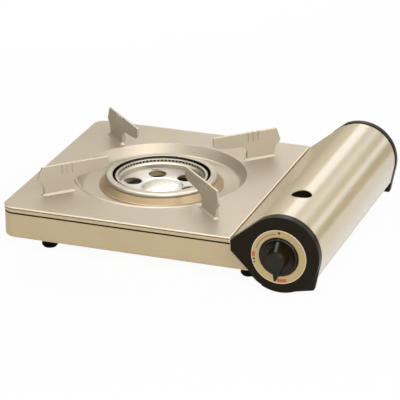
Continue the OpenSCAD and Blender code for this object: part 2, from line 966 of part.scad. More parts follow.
// Knob: a dished disc with a round hub, a wedge-shaped wing towards the top and a pointer at the bottom
module control_knob() {
    disc_y = cap_face_y + recess_d - pass_gap;
    face_y = cap_face_y - 2.2;
    disc_h = disc_y - face_y;
    dish = disc_h - 1.6;
    tip_r = dial_r - 3;
    color("#24211e")
    placed()
    difference() {
        union() {
            translate([dial_x, disc_y, dial_z])
                rotate([90, 0, 0])
                    rotate_extrude()
                        polygon([
                            [0, 0], [knob_r, 0], [knob_r, disc_h - 0.6], [knob_r - 0.6, disc_h],
                            [knob_r - 1.6, disc_h], [knob_r - 3.8, disc_h - 1], [hub_r + 3.5, dish], [0, dish]
                        ]);
            translate([dial_x, disc_y - dish + 1, dial_z])
                rotate([90, 0, 0])
                    cylinder(r1 = hub_r + 2.4, r2 = hub_r, h = knob_h - 1.2 + 1.6);
            knob_wing(disc_y - dish + 0.8, face_y - 1.5);
            translate([dial_x, face_y + 1, dial_z])
                rotate([90, 6.7, 0])
                    linear_extrude(2)
                        polygon([[-5.6, -hub_r], [5.6, -hub_r], [0.9, -tip_r], [-0.9, -tip_r]]);
        }
        bar_y(dial_x, dial_z, spindle_r + 0.02, cap_face_y - 8, cap_back_y);
    }
}

// Thumb wing of the knob, from its foot at y0 to its ridge, which ends at y1 near the disc's edge
module knob_wing(y0, y1) {
    top = knob_r - 1.2;
    front = knob_front_y + 0.8;
    points = [
        [-8.4, y0, 1], [8.4, y0, 1], [2.6, y0, top], [-2.6, y0, top],
        [-3, front, 1], [3, front, 1], [1.4, front, hub_r * 0.7], [-1.4, front, hub_r * 0.7],
        [1.1, y1, top - 0.8], [-1.1, y1, top - 0.8]
    ];
    translate([dial_x, 0, dial_z])
        hull()
            polyhedron(points, [
                [0, 1, 5, 4], [4, 5, 6, 7], [7, 6, 8, 9], [9, 8, 2, 3], [0, 3, 2, 1], [1, 2, 8, 6, 5],
                [0, 4, 7, 9, 3]
            ]);
}

module spindle() {
    color("#a8a8a6")
    placed()
        bar_y(dial_x, dial_z, spindle_r, cap_face_y - 7.5, regulator_y + 7);
}

// Spiral cam: its radius grows evenly with the knob's turn, so the plunger moves evenly too
module igniter_cam() {
    step = 10;
    color("#e2ddd0")
    placed()
    difference() {
        translate([dial_x, cam_y + cam_t, dial_z])
            rotate([90, 0, 0])
                linear_extrude(cam_t)
                    polygon(concat(
                        [for (a = [-step : step : cam_span]) pol(cam_at(a), 180 + a)],
                        [for (a = [cam_span + step : step : 340]) pol(spindle_r + 3, 180 + a)]
                    ));
        bar_y(dial_x, dial_z, spindle_r + 0.02, cam_y - 1, cam_y + cam_t + 1);
    }
}

module igniter_plunger() {
    color("#c9a45c")
    placed()
        bar_x(cam_y + cam_t / 2, dial_z, plunger_r, igniter_x - 8, plunger_x);
}

base_tray();
top_plate();
support_front_left();
support_front_right();
support_rear_left();
support_rear_right();
burner_collar();
burner_rim();
port_ring();
air_dish();
mixing_tube();
gas_jet();
gas_pipe();
regulator();
canister_seat();
valve_bracket();
bay_trough();
front_cap();
rear_cap();
dial_ring();
hinge_pins();
igniter_body();
igniter_lead();
spark_electrode();
feet();
foot_screws();
canister_cover();
control_knob();
spindle();
igniter_cam();
igniter_plunger();
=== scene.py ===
"""Looks of a slim table stove for a lying gas canister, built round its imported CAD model.

The CAD nodes give every place and size. This file gives them their finishes, rounds the hard edges of
the supports, the end caps and the dial ring, and adds the dial's marks, the studio and the camera.
"""

import math

import bmesh
import bpy
from bpy.props import FloatProperty, FloatVectorProperty, PointerProperty
from mathutils import Matrix, Vector


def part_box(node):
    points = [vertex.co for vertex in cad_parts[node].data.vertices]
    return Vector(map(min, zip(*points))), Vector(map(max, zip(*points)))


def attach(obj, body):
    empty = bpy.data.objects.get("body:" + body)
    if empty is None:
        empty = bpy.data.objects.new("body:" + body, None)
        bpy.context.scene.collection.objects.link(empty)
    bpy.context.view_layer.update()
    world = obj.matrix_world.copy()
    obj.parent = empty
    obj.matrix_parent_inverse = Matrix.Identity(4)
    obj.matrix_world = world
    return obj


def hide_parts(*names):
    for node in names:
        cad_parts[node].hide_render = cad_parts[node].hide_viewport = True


bl_info = {
    "name": "Table Stove",
    "version": (1, 0, 0),
    "blender": (4, 5, 0),
    "location": "3D View > Sidebar > Stove",
    "description": "Finishes, soft edges, dial marks and studio for a slim table stove",
    "category": "Object",
}

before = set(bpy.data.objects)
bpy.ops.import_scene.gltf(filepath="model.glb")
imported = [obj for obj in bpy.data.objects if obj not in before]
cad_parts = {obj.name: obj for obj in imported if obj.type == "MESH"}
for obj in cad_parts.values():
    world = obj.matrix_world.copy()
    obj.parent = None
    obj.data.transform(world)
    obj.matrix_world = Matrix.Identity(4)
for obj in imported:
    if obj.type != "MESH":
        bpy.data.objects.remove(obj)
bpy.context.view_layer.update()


def middle(node):
    """Middle of a CAD node's box."""
    low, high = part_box(node)
    return (low + high) / 2


def radius_of(node):
    """Half the width of a CAD node's box, which is the radius of a round node."""
    low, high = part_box(node)
    return (high.x - low.x) / 2


# Places that the finishes and the studio are measured from; the seam is at the trough's top
BURNER = middle("burner_rim")
KNOB_AXIS = middle("dial_ring")
BAY = middle("canister_cover")
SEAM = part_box("bay_trough")[1].z
PLATE_RISE = 0.0056
PLATE_TOP = SEAM + PLATE_RISE

# Ends of a mask: how soft a crisp one is, and a limit past the whole stove
CRISP = 0.0001
BEYOND = 1.0

# Range in which most values of a noise texture lie
NOISE_LOW = 0.3
NOISE_HIGH = 0.7

WHITE = (1, 1, 1, 1)
SHADE = (0.03, 0.02, 0.01, 1)
ZINC = (0.62, 0.62, 0.60)
POLISHED = 0.3


class StoveSizes(bpy.types.PropertyGroup):
    """Sizes that the looks add to the CAD model"""

    sheet_edge: FloatProperty(
        name="Sheet Edge", description="Rounding of the pressed sheet's cut edges",
        default=0.00025, min=0.0001, max=0.0003, unit="LENGTH", precision=5)
    moulded_edge: FloatProperty(
        name="Moulded Edge", description="Rounding of the plastic caps' edges",
        default=0.0006, min=0.0001, max=0.0015, unit="LENGTH", precision=4)
    dial_edge: FloatProperty(
        name="Dial Edge", description="Rounding of the dial ring's edges",
        default=0.0005, min=0.0001, max=0.00055, unit="LENGTH", precision=5)


class StoveColours(bpy.types.PropertyGroup):
    """Colours of the stove's finishes"""

    plate: FloatVectorProperty(
        name="Plate", description="Satin champagne paint of the plate and the supports",
        default=(0.465, 0.405, 0.315), subtype="COLOR", min=0, max=1)
    wall: FloatVectorProperty(
        name="Wall", description="Champagne paint of the tray's walls",
        default=(0.52, 0.409, 0.246), subtype="COLOR", min=0, max=1)
    cover: FloatVectorProperty(
        name="Cover", description="Gloss champagne of the canister cover",
        default=(0.43, 0.345, 0.185), subtype="COLOR", min=0, max=1)
    steel: FloatVectorProperty(
        name="Steel", description="Bright spun steel of the burner's dish",
        default=(0.62, 0.59, 0.55), subtype="COLOR", min=0, max=1)
    rim: FloatVectorProperty(
        name="Rim", description="Satin steel of the burner's rolled rim",
        default=(0.44, 0.405, 0.335), subtype="COLOR", min=0, max=1)
    port: FloatVectorProperty(
        name="Port Ring", description="Heat-tinted steel of the burner's port ring",
        default=(0.44, 0.40, 0.335), subtype="COLOR", min=0, max=1)
    collar: FloatVectorProperty(
        name="Collar", description="Tan paint of the burner's collar",
        default=(0.41, 0.30, 0.172), subtype="COLOR", min=0, max=1)
    cap: FloatVectorProperty(
        name="Caps", description="Brown black plastic of the end caps and the knob",
        default=(0.0105, 0.0068, 0.0025), subtype="COLOR", min=0, max=1)
    dial: FloatVectorProperty(
        name="Dial", description="Gold beige metal of the dial ring",
        default=(0.505, 0.396, 0.198), subtype="COLOR", min=0, max=1)


def tinted(colour, factor=1.0):
    """A colour made lighter or darker by a factor, with full alpha."""
    return tuple(min(1.0, c * factor) for c in colour[:3]) + (1.0,)


def add_node(tree, kind, inputs=None, **settings):
    """A shader node with its settings and the values of its sockets."""
    node = tree.nodes.new(kind)
    for key, value in settings.items():
        setattr(node, key, value)
    for key, value in (inputs or {}).items():
        node.inputs[key].default_value = value
    return node


def bare_tree(holder, output="ShaderNodeOutputMaterial"):
    """Leaves only an output in a material's or world's nodes; returns the tree and the surface socket."""
    holder.use_nodes = True
    tree = holder.node_tree
    tree.nodes.clear()
    return tree, add_node(tree, output).inputs["Surface"]


def new_finish(name, values):
    """A material with one principled shader, given the values of its sockets.

    Returns the material, its tree and the shader.
    """
    material = bpy.data.materials.new(name)
    tree, surface = bare_tree(material)
    shader = add_node(tree, "ShaderNodeBsdfPrincipled", values)
    tree.links.new(shader.outputs["BSDF"], surface)
    return material, tree, shader


def ramp_between(tree, value, dark, light, low=NOISE_LOW, high=NOISE_HIGH):
    """A colour that goes from dark to light while a socket's value goes from low to high."""
    ramp = add_node(tree, "ShaderNodeValToRGB")
    first, last = ramp.color_ramp.elements
    first.position = low
    first.color = dark
    last.position = high
    last.color = light
    tree.links.new(value, ramp.inputs["Fac"])
    return ramp.outputs["Color"]


def mapped(tree, value, start, end, low=0.0, high=1.0, interpolation="LINEAR"):
    """A value that goes from low to high while a socket's value goes from start to end."""
    step = add_node(
        tree, "ShaderNodeMapRange",
        {"From Min": start, "From Max": end, "To Min": low, "To Max": high},
        interpolation_type=interpolation)
    tree.links.new(value, step.inputs["Value"])
    return step.outputs["Result"]


def combined(tree, operation, first, second):
    """The result of a maths operation on two sockets."""
    node = add_node(tree, "ShaderNodeMath", operation=operation)
    tree.links.new(first, node.inputs[0])
    tree.links.new(second, node.inputs[1])
    return node.outputs["Value"]


def both(tree, first, second):
    """A mask that is 1 where two masks are 1."""
    return combined(tree, "MULTIPLY", first, second)


def noise_on(tree, coords, scale, detail, dimensions="3D"):
    """A noise texture on a coordinate socket."""
    noise = add_node(
        tree, "ShaderNodeTexNoise", {"Scale": scale, "Detail": detail}, noise_dimensions=dimensions)
    tree.links.new(coords, noise.inputs["W" if dimensions == "1D" else "Vector"])
    return noise.outputs["Fac"]


def bump_from(tree, height, shader, strength, distance):
    """A bump from a height socket on the shader's normal."""
    bump = add_node(tree, "ShaderNodeBump", {"Strength": strength, "Distance": distance})
    tree.links.new(height, bump.inputs["Height"])
    tree.links.new(bump.outputs["Normal"], shader.inputs["Normal"])


def set_surface(tree, shader, colour, cloud, smooth, rough):
    """Links a colour to the shader, and a roughness that goes from smooth to rough over a noise."""
    tree.links.new(colour, shader.inputs["Base Color"])
    roughness = mapped(tree, cloud, NOISE_LOW, NOISE_HIGH, smooth, rough)
    tree.links.new(roughness, shader.inputs["Roughness"])


def object_coords(tree):
    """The socket of the object's own coordinates."""
    return add_node(tree, "ShaderNodeTexCoord").outputs["Object"]


def place_along(tree, axis):
    """The socket of the place along an axis."""
    place = add_node(tree, "ShaderNodeSeparateXYZ")
    tree.links.new(object_coords(tree), place.inputs["Vector"])
    return place.outputs[axis]


def ring_distance(tree, centre, plane):
    """The socket of the distance from an axis through centre; plane names the two axes that count."""
    shift = add_node(tree, "ShaderNodeMapping", {
        "Location": tuple(-c if a in plane else 0 for c, a in zip(centre, "XYZ")),
        "Scale": tuple(1.0 if a in plane else 0.0 for a in "XYZ")})
    tree.links.new(object_coords(tree), shift.inputs["Vector"])
    length = add_node(tree, "ShaderNodeVectorMath", operation="LENGTH")
    tree.links.new(shift.outputs["Vector"], length.inputs[0])
    return length.outputs["Value"]


def band_mask(tree, value, low, high, soft=CRISP):
    """A mask that is 1 where a socket's value lies between low and high, with soft ends."""
    rise = mapped(tree, value, low - soft, low, 0.0, 1.0, "SMOOTHSTEP")
    fall = mapped(tree, value, high, high + soft, 1.0, 0.0, "SMOOTHSTEP")
    return both(tree, rise, fall)


def height_band(tree, low, high, soft=CRISP):
    """A mask that is 1 between two heights above the table."""
    return band_mask(tree, place_along(tree, "Z"), low, high, soft)


def burner_band(tree, inner, outer, soft=CRISP):
    """A mask that is 1 between two distances from the burner's axis."""
    return band_mask(tree, ring_distance(tree, BURNER, "XY"), inner, outer, soft)


def shade_where(material, mask, colour, roughness=0.8):
    """Lays a colour and a roughness on a finish where a mask is 1."""
    tree = material.node_tree
    shader = next(node for node in tree.nodes if node.type == "BSDF_PRINCIPLED")
    for key, kind, value in (("Base Color", "RGBA", colour), ("Roughness", "FLOAT", roughness)):
        socket = shader.inputs[key]
        mix = add_node(tree, "ShaderNodeMix", data_type=kind)
        factor, below, above = (each for each in mix.inputs if each.enabled)
        tree.links.new(mask, factor)
        tree.links.new(socket.links[0].from_socket, below)
        above.default_value = value
        tree.links.new(next(each for each in mix.outputs if each.enabled), socket)


def champagne_paint(name, colour, roughness, metallic, peel=0.05, lacquer=0.0, shine=0.5):
    """Metallic paint with fine flakes, a slow change of tone, a little orange peel and clear lacquer."""
    material, tree, shader = new_finish(name, {
        "Metallic": metallic, "Specular IOR Level": shine,
        "Coat Weight": lacquer, "Coat Roughness": 0.12, "Coat IOR": 2.0})
    coords = object_coords(tree)
    flakes = noise_on(tree, coords, scale=2600.0, detail=1.0)
    tone = noise_on(tree, coords, scale=14.0, detail=3.0)
    dimples = noise_on(tree, coords, scale=900.0, detail=2.0)
    mix = add_node(tree, "ShaderNodeMix", {"Factor": 1.0}, data_type="RGBA", blend_type="MULTIPLY")
    flake_colour = ramp_between(tree, flakes, tinted(colour, 0.93), tinted(colour, 1.06))
    tone_colour = ramp_between(tree, tone, tinted(WHITE, 0.95), WHITE)
    tree.links.new(flake_colour, mix.inputs["A"])
    tree.links.new(tone_colour, mix.inputs["B"])
    set_surface(tree, shader, mix.outputs["Result"], tone, roughness - 0.03, roughness + 0.05)
    bump_from(tree, dimples, shader, strength=peel, distance=0.0002)
    return material


def spun_steel(name, colour, roughness, centre, plane="XY", rings=1600.0):
    """Bright metal with the fine rings of spinning round an axis."""
    material, tree, shader = new_finish(name, {"Metallic": 1.0})
    lines = noise_on(tree, ring_distance(tree, centre, plane), scale=rings, detail=2.0, dimensions="1D")
    cloud = noise_on(tree, object_coords(tree), scale=40.0, detail=3.0)
    line_colour = ramp_between(tree, lines, tinted(colour, 0.9), tinted(colour, 1.04))
    set_surface(tree, shader, line_colour, cloud, roughness - 0.05, roughness + 0.07)
    bump_from(tree, lines, shader, strength=0.08, distance=0.0002)
    return material


def plain_metal(name, colour, roughness, scale=300.0):
    """Plated or cast metal with a cloudy surface."""
    material, tree, shader = new_finish(name, {"Metallic": 1.0})
    cloud = noise_on(tree, object_coords(tree), scale=scale, detail=4.0)
    cloud_colour = ramp_between(tree, cloud, tinted(colour, 0.85), tinted(colour, 1.1))
    set_surface(tree, shader, cloud_colour, cloud, roughness - 0.06, roughness + 0.08)
    bump_from(tree, cloud, shader, strength=0.05, distance=0.0003)
    return material


def moulded_plastic(name, colour, roughness, grain=1800.0, depth=0.12, shine=0.5):
    """Moulded plastic, rubber or glaze with a fine even grain."""
    material, tree, shader = new_finish(name, {"Specular IOR Level": shine})
    coords = object_coords(tree)
    pores = noise_on(tree, coords, scale=grain, detail=2.0)
    tone = noise_on(tree, coords, scale=30.0, detail=2.0)
    tone_colour = ramp_between(tree, tone, tinted(colour, 0.85), tinted(colour, 1.15))
    set_surface(tree, shader, tone_colour, pores, roughness - 0.05, roughness + 0.06)
    bump_from(tree, pores, shader, strength=depth, distance=0.0002)
    return material


def finish_node(node, material):
    """Puts a finish on a CAD node."""
    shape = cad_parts[node]
    if not shape.material_slots:
        shape.data.materials.append(material)
    for slot in shape.material_slots:
        slot.material = material


# Angles between faces: an edge is rounded above the first, and shaded sharp above the others
ROUNDED_ABOVE = math.radians(32)
SHARP_ON_ROUNDED = math.radians(20)
SHARP_ON_BARS = math.radians(35)

# A face with this many corners or more is the flat side of a sheet
SHEET_CORNERS = 9

# Limits for merging a CAD node's loose triangles
SAME_PLACE = 1e-6
SAME_PLANE = math.radians(0.5)


def mesh_object(name, shape, material):
    """An object in the scene from a bmesh, with a material."""
    mesh = bpy.data.meshes.new(name)
    shape.to_mesh(mesh)
    shape.free()
    mesh.materials.append(material)
    piece = bpy.data.objects.new(name, mesh)
    bpy.context.scene.collection.objects.link(piece)
    return piece


def new_piece(name, shape, material, body, sharp):
    """A piece from a bmesh, with a finish, riding on a body.

    Edges with a larger angle than sharp are shaded sharp, and the flat sides of sheets flat.
    """
    bmesh.ops.recalc_face_normals(shape, faces=shape.faces)
    for face in shape.faces:
        face.smooth = len(face.verts) < SHEET_CORNERS
    for edge in shape.edges:
        edge.smooth = len(edge.link_faces) == 2 and edge.calc_face_angle() < sharp
    piece = mesh_object(name, shape, material)
    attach(piece, body)
    return piece


def clear_part(edge, crowd, margin):
    """Cuts the ends off an edge where edges shorter than crowd meet it; returns what is left, or None."""
    ends = [v for v in edge.verts if any(e.calc_length() < crowd for e in v.link_edges)]
    if ends and edge.calc_length() < 3 * margin:
        return None
    for vert in ends:
        bmesh.utils.edge_split(edge, vert, margin / edge.calc_length())
    return edge


def softened(node, width, material, body, crowd=0.0):
    """A copy of a CAD node with its hard outer edges rounded; stands for the node."""
    shape = bmesh.new()
    shape.from_mesh(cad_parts[node].data)
    bmesh.ops.remove_doubles(shape, verts=shape.verts, dist=SAME_PLACE)
    bmesh.ops.dissolve_limit(shape, angle_limit=SAME_PLANE, verts=shape.verts, edges=shape.edges)
    outer = [e for e in shape.edges if e.is_manifold and e.is_convex]
    hard = [e for e in outer if e.calc_face_angle() > ROUNDED_ABOVE]
    clear = [clear_part(e, crowd, 3 * width) for e in hard]
    bmesh.ops.bevel(
        shape, geom=[e for e in clear if e], offset=width, offset_type="OFFSET", segments=2, profile=0.5,
        affect="EDGES", clamp_overlap=False, material=-1)
    piece = new_piece(node + "_soft", shape, material, body, SHARP_ON_ROUNDED)
    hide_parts(node)


# Heights of the bands on the case: painted shade at the neck under the plate, and on the plate the side,
# a line of painted shade and a painted highlight on the lip
NECK_SHADE_LOW = SEAM - 0.0018
NECK_SHADE_HIGH = SEAM + 0.003
SIDE_LOW = SEAM - 0.001
GROOVE_SHADE_LOW = PLATE_TOP - 0.0024
GROOVE_SHADE_HIGH = PLATE_TOP - 0.0018
LIP_HIGHLIGHT_LOW = PLATE_TOP - 0.0016
LIP_HIGHLIGHT_HIGH = PLATE_TOP - 0.0003
LIP_HIGHLIGHT_SOFT = 0.0002

# Distance from the burner's axis that is past the well
WELL_END = 0.095
WELL_SOFT = 0.001

# The plate's edge along the bay, where a highlight is painted
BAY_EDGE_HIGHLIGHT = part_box("top_plate")[1].x - 0.001
BAY_EDGE_HIGHLIGHT_SOFT = 0.0004

# Painted light: a pale steel tone on the upper side of the tray's floor, round the burner's axis,
# standing in for light on the floor seen through the air holes
TRAY_LIGHT_LOW = 0.01305
TRAY_LIGHT_HIGH = 0.0136
TRAY_LIGHT_REACH = 0.1
TRAY_LIGHT_SOFT = 0.005
TRAY_PAINTED_LIGHT = (0.68, 0.61, 0.5, 1)


class StoveCase(bpy.types.Operator):
    """Finish the tray and the top plate"""

    bl_idname = "stove.case"
    bl_label = "Case"

    def execute(self, context):
        colours = context.scene.stove_colours
        finish_node("base_tray", self.tray_finish(colours))
        finish_node("top_plate", self.plate_finish(colours))
        return {"FINISHED"}

    def tray_finish(self, colours):
        """Wall paint with painted shade at the seam under the plate, and a pale steel tone painted under
        the burner as light on the floor seen through the air holes.
        """
        wall = champagne_paint("wall_paint", colours.wall, roughness=0.36, metallic=0.5)
        tree = wall.node_tree
        # Painted shade: a dark band along the seam under the plate
        shade_where(wall, height_band(tree, NECK_SHADE_LOW, NECK_SHADE_HIGH), tinted(SHADE, 0.7))
        # Painted light: a pale patch on the tray's floor under the burner, for the floor seen through the
        # air holes
        tray_floor = height_band(tree, TRAY_LIGHT_LOW, TRAY_LIGHT_HIGH)
        under_burner = burner_band(tree, 0.0, TRAY_LIGHT_REACH, TRAY_LIGHT_SOFT)
        shade_where(wall, both(tree, under_burner, tray_floor), TRAY_PAINTED_LIGHT, 0.5)
        return wall

    def plate_finish(self, colours):
        """Plate paint with a tan side, a line of painted shade above it, and painted highlights on the
        lip and on the edge along the bay.
        """
        plate = champagne_paint("plate_paint", colours.plate, roughness=0.40, metallic=0.45)
        tree = plate.node_tree
        outside = burner_band(tree, WELL_END, BEYOND, WELL_SOFT)
        side = both(tree, height_band(tree, SIDE_LOW, GROOVE_SHADE_LOW), outside)
        line = both(tree, height_band(tree, GROOVE_SHADE_LOW, GROOVE_SHADE_HIGH), outside)
        lip_highlight = both(tree, height_band(tree, LIP_HIGHLIGHT_LOW, LIP_HIGHLIGHT_HIGH, LIP_HIGHLIGHT_SOFT), outside)
        bay_edge_highlight = band_mask(tree, place_along(tree, "X"), BAY_EDGE_HIGHLIGHT, BEYOND, BAY_EDGE_HIGHLIGHT_SOFT)
        shade_where(plate, side, tinted(colours.wall), 0.4)
        # Painted shade: a thin dark line under the lip
        shade_where(plate, line, SHADE)
        # Painted highlight: a bright band along the lip
        shade_where(plate, lip_highlight, tinted(colours.plate, 1.65), POLISHED)
        # Painted highlight: a bright strip along the plate's edge beside the bay
        shade_where(plate, bay_edge_highlight, tinted(colours.plate, 1.7), POLISHED)
        return plate


# Bands on the supports: a highlight painted on the top edge, and one painted on the fold at the foot
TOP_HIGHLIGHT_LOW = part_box("support_front_left")[1].z - 0.00035
TOP_HIGHLIGHT_SOFT = 0.0002
FOLD_HIGHLIGHT_TOP = PLATE_TOP + 0.0012
FOLD_HIGHLIGHT_SOFT = 0.0006

# Edges shorter than this crowd the ends of the edges that are rounded
CROWDED = 0.00045


class StoveSupports(bpy.types.Operator):
    """Finish the four pan supports and round their edges"""

    bl_idname = "stove.supports"
    bl_label = "Pan Supports"

    def execute(self, context):
        plate = context.scene.stove_colours.plate
        edge = context.scene.stove_sizes.sheet_edge
        paint = champagne_paint("support_paint", plate, roughness=0.42, metallic=0.1, shine=0.12)
        tree = paint.node_tree
        # Painted highlight: a bright band along the supports' top edge
        top_highlight = height_band(tree, TOP_HIGHLIGHT_LOW, BEYOND, TOP_HIGHLIGHT_SOFT)
        shade_where(paint, top_highlight, tinted(plate, 1.7), POLISHED)
        # Painted highlight: a bright band on the fold at the supports' foot
        fold_highlight = height_band(tree, 0.0, FOLD_HIGHLIGHT_TOP, FOLD_HIGHLIGHT_SOFT)
        shade_where(paint, fold_highlight, tinted(plate, 2.0), POLISHED)
        for corner in ("front_left", "front_right", "rear_left", "rear_right"):
            finish_node("support_" + corner, paint)
            softened("support_" + corner, edge, paint, "stove", CROWDED)
        return {"FINISHED"}


# Rings of the burner's finishes by their distance from its axis: the collar's painted shade in the gap
# under the rim, and the port ring's painted shade behind its ports and along its outer edge, which are
# measured from its inner face
COLLAR_SHADE_INNER = 0.0432
COLLAR_SHADE_OUTER = 0.0549
COLLAR_SHADE_SOFT = 0.0002
PORT_FACE = radius_of("port_ring") - 0.0039
PORT_SHADE_INNER = PORT_FACE + 0.0003
PORT_EDGE_SHADE = PORT_FACE + 0.0025
PORT_EDGE_SHADE_SOFT = 0.0003
DOME_END = 0.0227

# Heights under which the port ring gets painted shade at its back and the dish is heat-tinted
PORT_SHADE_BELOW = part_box("port_ring")[1].z - 0.0006
DISH_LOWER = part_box("air_dish")[1].z - 0.0032
HEAT_TINT = (0.5, 0.40, 0.27, 1)


class StoveBurner(bpy.types.Operator):
    """Finish the collar, the rolled rim, the port ring and the air dish"""

    bl_idname = "stove.burner"
    bl_label = "Burner"

    def execute(self, context):
        colours = context.scene.stove_colours
        finish_node("burner_collar", self.collar_finish(colours))
        finish_node("burner_rim", spun_steel("rim_steel", colours.rim, 0.42, BURNER))
        finish_node("port_ring", self.port_finish(colours))
        finish_node("air_dish", self.dish_finish(colours))
        return {"FINISHED"}

    def collar_finish(self, colours):
        """Tan paint with painted shade in the gap under the rim."""
        collar = champagne_paint("collar_paint", colours.collar, roughness=0.35, metallic=0.25)
        # Painted shade: dark in the gap under the rim
        collar_shade = burner_band(collar.node_tree, COLLAR_SHADE_INNER, COLLAR_SHADE_OUTER, COLLAR_SHADE_SOFT)
        shade_where(collar, collar_shade, tinted(SHADE, 0.3))
        return collar

    def port_finish(self, colours):
        """Spun steel with painted shade behind the ports and along the outer edge."""
        port = spun_steel("port_steel", colours.port, 0.42, BURNER)
        tree = port.node_tree
        # Painted shade: dark behind the ports, in the gap under the rim
        behind = burner_band(tree, PORT_SHADE_INNER, BEYOND)
        under = height_band(tree, 0.0, PORT_SHADE_BELOW)
        shade_where(port, both(tree, behind, under), tinted(SHADE, 0.2))
        # Painted shade: dark along the outer edge of the ring's top, widening the gap seen under the rim
        edge = burner_band(tree, PORT_EDGE_SHADE, BEYOND, PORT_EDGE_SHADE_SOFT)
        shade_where(port, edge, tinted(SHADE, 0.2))
        return port

    def dish_finish(self, colours):
        """Bright spun steel, heat-tinted beneath its floor outside the dome."""
        dish = spun_steel("dish_steel", colours.steel, 0.42, BURNER, rings=900.0)
        tree = dish.node_tree
        round_dome = burner_band(tree, DOME_END, BEYOND)
        beneath = height_band(tree, 0.0, DISH_LOWER)
        shade_where(dish, both(tree, round_dome, beneath), HEAT_TINT, 0.9)
        return dish


class StoveGasWay(bpy.types.Operator):
    """Finish the mixing tube, jet, pipe, regulator, canister seat and bracket"""

    bl_idname = "stove.gas_way"
    bl_label = "Gas Way"

    def execute(self, context):
        plating = plain_metal("zinc_plate", ZINC, 0.34)
        for node in ("mixing_tube", "gas_pipe", "valve_bracket"):
            finish_node(node, plating)
        finish_node("gas_jet", plain_metal("jet_brass", (0.78, 0.56, 0.24), 0.28))
        finish_node("regulator", plain_metal("zinc_casting", (0.56, 0.56, 0.54), 0.48, scale=700.0))
        finish_node("canister_seat", plain_metal("seat_magnet", (0.12, 0.12, 0.12), 0.5, scale=500.0))
        return {"FINISHED"}


class StoveBay(bpy.types.Operator):
    """Finish the bay's trough, its end caps and the hinge pins, and round the caps' edges"""

    bl_idname = "stove.bay"
    bl_label = "Canister Bay"

    def execute(self, context):
        colours = context.scene.stove_colours
        edge = context.scene.stove_sizes.moulded_edge
        trough = champagne_paint("trough_paint", tinted(colours.wall, 0.7), roughness=0.42, metallic=0.4)
        finish_node("bay_trough", trough)
        cap = moulded_plastic("cap_plastic", colours.cap, 0.3, shine=0.1)
        for node in ("front_cap", "rear_cap"):
            finish_node(node, cap)
            softened(node, edge, cap, "stove")
        finish_node("hinge_pins", plain_metal("pin_steel", (0.66, 0.66, 0.65), 0.28))
        return {"FINISHED"}


class StoveCover(bpy.types.Operator):
    """Finish the round canister cover"""

    bl_idname = "stove.cover"
    bl_label = "Canister Cover"

    def execute(self, context):
        gloss = champagne_paint(
            "cover_paint", context.scene.stove_colours.cover, roughness=0.45, metallic=0.2, peel=0.02,
            lacquer=1.0)
        finish_node("canister_cover", gloss)
        return {"FINISHED"}


# Highlights painted as pale borders on the dial ring's edges: where they start inwards of its outer edge,
# and their width
EDGE_HIGHLIGHT_STARTS = (0.0007, 0.0083)
EDGE_HIGHLIGHT_WIDTH = 0.0007

# Bars on the dial: inner and outer radius, then first and last angle in degrees from the right,
# counted by way of the top
DIAL_MARKS = (
    (0.0231, 0.0236, 98, 164),
    (0.0232, 0.0258, 87, 92),
    (0.0240, 0.0262, 189, 193),
    (0.0246, 0.0262, 197, 200),
)
DIAL_STOPS = (
    (0.0236, 0.0268, 174, 185),
    (0.0226, 0.0258, 267, 289),
)
MARK_BLACK = (0.05, 0.035, 0.02)
MARK_RED = (0.42, 0.10, 0.045)

# How far a bar stands proud of the dial's face and how far it is let into it, and degrees to a step
BAR_PROUD = 0.00013
BAR_SUNK = 0.00002
BAR_STEP = 3


def dial_bar(shape, inner, outer, start, end):
    """Adds a raised bar to a bmesh: part of a ring round the dial's axis, by angles from the right."""
    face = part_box("dial_ring")[0].y
    back = face + BAR_SUNK
    front = face - BAR_PROUD
    first = math.radians(start)
    corners = []
    for radius, y in ((inner, back), (outer, back), (outer, front), (inner, front)):
        corners.append(shape.verts.new((
            KNOB_AXIS.x + radius * math.cos(first), y, KNOB_AXIS.z + radius * math.sin(first))))
    section = shape.faces.new(corners)
    grown = bmesh.ops.spin(
        shape, geom=[*corners, *section.edges], cent=KNOB_AXIS, axis=(0, -1, 0),
        angle=math.radians(end - start), steps=max(2, (end - start) // BAR_STEP))
    last = [each for each in grown["geom_last"] if isinstance(each, bmesh.types.BMEdge)]
    bmesh.ops.contextual_create(shape, geom=last)


def dial_piece(name, bars, material):
    """A piece made of raised bars on the dial's face."""
    shape = bmesh.new()
    for bar in bars:
        dial_bar(shape, *bar)
    piece = new_piece(name, shape, material, "stove", SHARP_ON_BARS)


class StoveDial(bpy.types.Operator):
    """Finish the dial ring, round its edges and add its marks"""

    bl_idname = "stove.dial"
    bl_label = "Dial"

    def execute(self, context):
        colours = context.scene.stove_colours
        metal = spun_steel("dial_metal", colours.dial, 0.40, KNOB_AXIS, "XZ")
        tree = metal.node_tree
        reach = ring_distance(tree, KNOB_AXIS, "XZ")
        # Painted highlights: pale bands along the dial ring's outer and inner edges
        for inwards in EDGE_HIGHLIGHT_STARTS:
            start = radius_of("dial_ring") - inwards
            edge_highlight = band_mask(tree, reach, start, start + EDGE_HIGHLIGHT_WIDTH)
            shade_where(metal, edge_highlight, tinted(colours.plate, 1.6), POLISHED)
        finish_node("dial_ring", metal)
        softened("dial_ring", context.scene.stove_sizes.dial_edge, metal, "stove")
        dial_piece("dial_marks", DIAL_MARKS, moulded_plastic("mark_black", MARK_BLACK, 0.5))
        dial_piece("dial_stops", DIAL_STOPS, moulded_plastic("mark_red", MARK_RED, 0.5))
        return {"FINISHED"}


